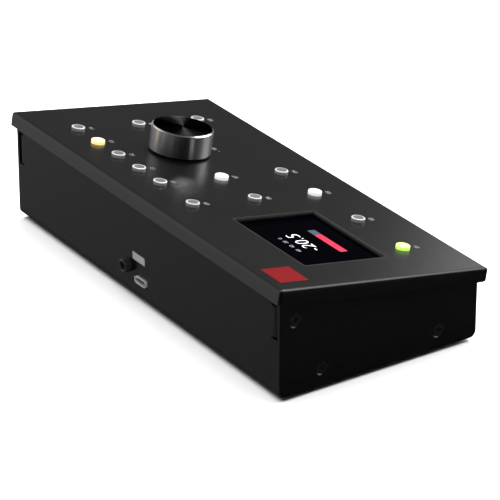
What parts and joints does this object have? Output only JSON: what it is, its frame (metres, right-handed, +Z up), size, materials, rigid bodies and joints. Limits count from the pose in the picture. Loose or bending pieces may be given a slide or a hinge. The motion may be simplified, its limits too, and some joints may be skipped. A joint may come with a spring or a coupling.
{
  "type": "studio monitor controller",
  "caption": "Low wedge-shaped desktop controller with a sloped deck of lit round keys, a display window and a large turned knob, for setting loudspeaker level.",
  "frame": {"origin": "centre of the overall box, on the plane that the four feet stand on", "axes": "+X to the user's right along the long side, +Y away from the user towards the tall rear wall, +Z up"},
  "size_m": [0.21, 0.105, 0.0572],
  "materials": {
    "satin_black_paint": "satin",
    "plated_steel": "satin",
    "spring_steel": "satin",
    "panel_metal": "satin",
    "socket_steel": "polished",
    "black_screw": "satin",
    "foot_rubber": "matte",
    "circuit_board": "satin",
    "chip_plastic": "matte",
    "switch_plastic": "matte",
    "socket_black": "gloss",
    "lamp_lens": "gloss",
    "key_clear": "satin",
    "key_lit_white": "satin",
    "key_lit_green": "satin",
    "key_lit_amber": "satin",
    "turned_aluminium": "brushed",
    "gasket_foam": "matte",
    "black_glass": "gloss",
    "cable_grey": "matte"
  },
  "bodies": {
    "case": {"base_tray": "satin_black_paint", "board_chips": "chip_plastic", "board_pillars": "plated_steel", "board_screws": "plated_steel", "cable_plug_lower": "switch_plastic", "cable_plug_upper": "switch_plastic", "cover_pillars": "plated_steel", "cover_screws": "plated_steel", "display_gasket": "gasket_foam", "display_glass": "black_glass", "display_header": "switch_plastic", "display_panel": "panel_metal", "encoder_body": "plated_steel", "encoder_nut": "plated_steel", "encoder_washer": "plated_steel", "end_panel_left": "satin_black_paint", "end_panel_right": "satin_black_paint", "end_screws": "black_screw", "feet": "foot_rubber", "io_board": "circuit_board", "io_pillars": "plated_steel", "io_screws": "plated_steel", "jack_body": "socket_black", "key_lamps": "lamp_lens", "link_cable": "cable_grey", "main_board": "circuit_board", "snap_domes": "spring_steel", "switch_bodies": "switch_plastic", "top_cover": "satin_black_paint", "usb_shell": "socket_steel", "usb_tongue": "switch_plastic"},
    "knob": {"volume_knob": "turned_aluminium", "encoder_shaft": "plated_steel", "knob_grub_screw": "black_screw"},
    "key_01_cap": {"key_01": "key_lit_green"},
    "key_02_cap": {"key_02": "key_clear"},
    "key_03_cap": {"key_03": "key_lit_white"},
    "key_04_cap": {"key_04": "key_clear"},
    "key_05_cap": {"key_05": "key_clear"},
    "key_06_cap": {"key_06": "key_clear"},
    "key_07_cap": {"key_07": "key_lit_white"},
    "key_08_cap": {"key_08": "key_clear"},
    "key_09_cap": {"key_09": "key_clear"},
    "key_10_cap": {"key_10": "key_clear"},
    "key_11_cap": {"key_11": "key_clear"},
    "key_12_cap": {"key_12": "key_clear"},
    "key_13_cap": {"key_13": "key_lit_amber"},
    "key_14_cap": {"key_14": "key_clear"}
  },
  "joints": [
    {"name": "knob_turn", "type": "hinge", "parent": "case", "child": "knob", "pos_m": [0.04425, 0.00081, 0.04878], "axis": [0, -0.1736, 0.9848], "continuous": true},
    {"name": "key_01_press", "type": "slide", "parent": "case", "child": "key_01_cap", "axis": [0, 0.1736, -0.9848], "range_m": [0, 0.0006], "stiffness_N_per_m": 1500},
    {"name": "key_02_press", "type": "slide", "parent": "case", "child": "key_02_cap", "axis": [0, 0.1736, -0.9848], "range_m": [0, 0.0006], "stiffness_N_per_m": 1500},
    {"name": "key_03_press", "type": "slide", "parent": "case", "child": "key_03_cap", "axis": [0, 0.1736, -0.9848], "range_m": [0, 0.0006], "stiffness_N_per_m": 1500},
    {"name": "key_04_press", "type": "slide", "parent": "case", "child": "key_04_cap", "axis": [0, 0.1736, -0.9848], "range_m": [0, 0.0006], "stiffness_N_per_m": 1500},
    {"name": "key_05_press", "type": "slide", "parent": "case", "child": "key_05_cap", "axis": [0, 0.1736, -0.9848], "range_m": [0, 0.0006], "stiffness_N_per_m": 1500},
    {"name": "key_06_press", "type": "slide", "parent": "case", "child": "key_06_cap", "axis": [0, 0.1736, -0.9848], "range_m": [0, 0.0006], "stiffness_N_per_m": 1500},
    {"name": "key_07_press", "type": "slide", "parent": "case", "child": "key_07_cap", "axis": [0, 0.1736, -0.9848], "range_m": [0, 0.0006], "stiffness_N_per_m": 1500},
    {"name": "key_08_press", "type": "slide", "parent": "case", "child": "key_08_cap", "axis": [0, 0.1736, -0.9848], "range_m": [0, 0.0006], "stiffness_N_per_m": 1500},
    {"name": "key_09_press", "type": "slide", "parent": "case", "child": "key_09_cap", "axis": [0, 0.1736, -0.9848], "range_m": [0, 0.0006], "stiffness_N_per_m": 1500},
    {"name": "key_10_press", "type": "slide", "parent": "case", "child": "key_10_cap", "axis": [0, 0.1736, -0.9848], "range_m": [0, 0.0006], "stiffness_N_per_m": 1500},
    {"name": "key_11_press", "type": "slide", "parent": "case", "child": "key_11_cap", "axis": [0, 0.1736, -0.9848], "range_m": [0, 0.0006], "stiffness_N_per_m": 1500},
    {"name": "key_12_press", "type": "slide", "parent": "case", "child": "key_12_cap", "axis": [0, 0.1736, -0.9848], "range_m": [0, 0.0006], "stiffness_N_per_m": 1500},
    {"name": "key_13_press", "type": "slide", "parent": "case", "child": "key_13_cap", "axis": [0, 0.1736, -0.9848], "range_m": [0, 0.0006], "stiffness_N_per_m": 1500},
    {"name": "key_14_press", "type": "slide", "parent": "case", "child": "key_14_cap", "axis": [0, 0.1736, -0.9848], "range_m": [0, 0.0006], "stiffness_N_per_m": 1500}
  ]
}
